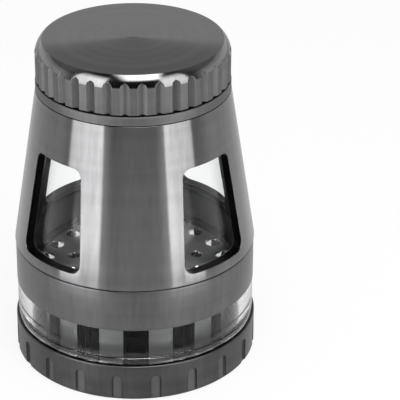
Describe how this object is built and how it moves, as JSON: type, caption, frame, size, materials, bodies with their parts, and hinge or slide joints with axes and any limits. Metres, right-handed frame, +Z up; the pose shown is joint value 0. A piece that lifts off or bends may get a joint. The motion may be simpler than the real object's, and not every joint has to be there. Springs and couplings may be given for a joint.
{
  "type": "twist spice mill",
  "caption": "Hand-twisted spice mill: toothed base cup and plate seen through a clear ring, windowed conical storage barrel and fluted screw cap.",
  "frame": {"origin": "centre of the underside of the base, on the surface that the mill stands on", "axes": "+Z up along the turning axis; the rib between two windows faces -Y to 1.5 degrees"},
  "size_m": [0.064, 0.064, 0.0885],
  "materials": {
    "gunmetal_base": "turned, dark gunmetal anodised",
    "gunmetal_plate": "turned, dark gunmetal anodised",
    "gunmetal_barrel": "brushed, dark gunmetal anodised",
    "gunmetal_cap": "face-turned top, polished flutes",
    "clear_acrylic": "clear, polished",
    "clear_liner": "clear, polished",
    "white_nylon": "satin, natural white",
    "black_rubber": "matt moulded silicone",
    "magnet_nickel": "bright nickel plate",
    "screw_steel": "plain steel",
    "spring_steel": "blackened spring steel"
  },
  "bodies": {
    "base": {"base_cup": "gunmetal_base", "base_teeth": "gunmetal_base", "base_magnet": "magnet_nickel", "base_magnet_screw": "screw_steel"},
    "running_ring": {"friction_ring": "white_nylon"},
    "mill_body": {"clear_ring": "clear_acrylic", "ring_gasket": "black_rubber", "body_band": "gunmetal_plate", "grinding_plate": "gunmetal_plate", "plate_teeth": "gunmetal_plate", "plate_magnet": "magnet_nickel", "plate_magnet_screw": "screw_steel"},
    "barrel_gasket": {"barrel_seal": "black_rubber"},
    "barrel": {"barrel": "gunmetal_barrel", "window_liner": "clear_liner", "liner_seal": "black_rubber", "liner_snap_ring": "spring_steel"},
    "cap_gasket": {"cap_seal": "black_rubber"},
    "cap": {"cap": "gunmetal_cap"}
  },
  "joints": [
    {"name": "base_release", "type": "slide", "parent": "base", "child": "running_ring", "axis": [0, 0, 1], "range_m": [0, 0.03]},
    {"name": "grind_twist", "type": "hinge", "parent": "running_ring", "child": "mill_body", "pos_m": [0, 0, 0.009], "axis": [0, 0, 1], "continuous": true},
    {"name": "barrel_thread_travel", "type": "slide", "parent": "mill_body", "child": "barrel_gasket", "axis": [0, 0, 1], "range_m": [0, 0.008]},
    {"name": "barrel_unscrew", "type": "hinge", "parent": "barrel_gasket", "child": "barrel", "pos_m": [0, 0, 0.028], "axis": [0, 0, 1], "range_deg": [0, 1152]},
    {"name": "cap_thread_travel", "type": "slide", "parent": "barrel", "child": "cap_gasket", "axis": [0, 0, 1], "range_m": [0, 0.0075]},
    {"name": "cap_unscrew", "type": "hinge", "parent": "cap_gasket", "child": "cap", "pos_m": [0, 0, 0.081], "axis": [0, 0, 1], "range_deg": [0, 1080]}
  ],
  "couplings": [
    {"joint": "barrel_thread_travel", "follows": "barrel_unscrew", "m_per_rad": 0.00039789},
    {"joint": "cap_thread_travel", "follows": "cap_unscrew", "m_per_rad": 0.00039789}
  ]
}
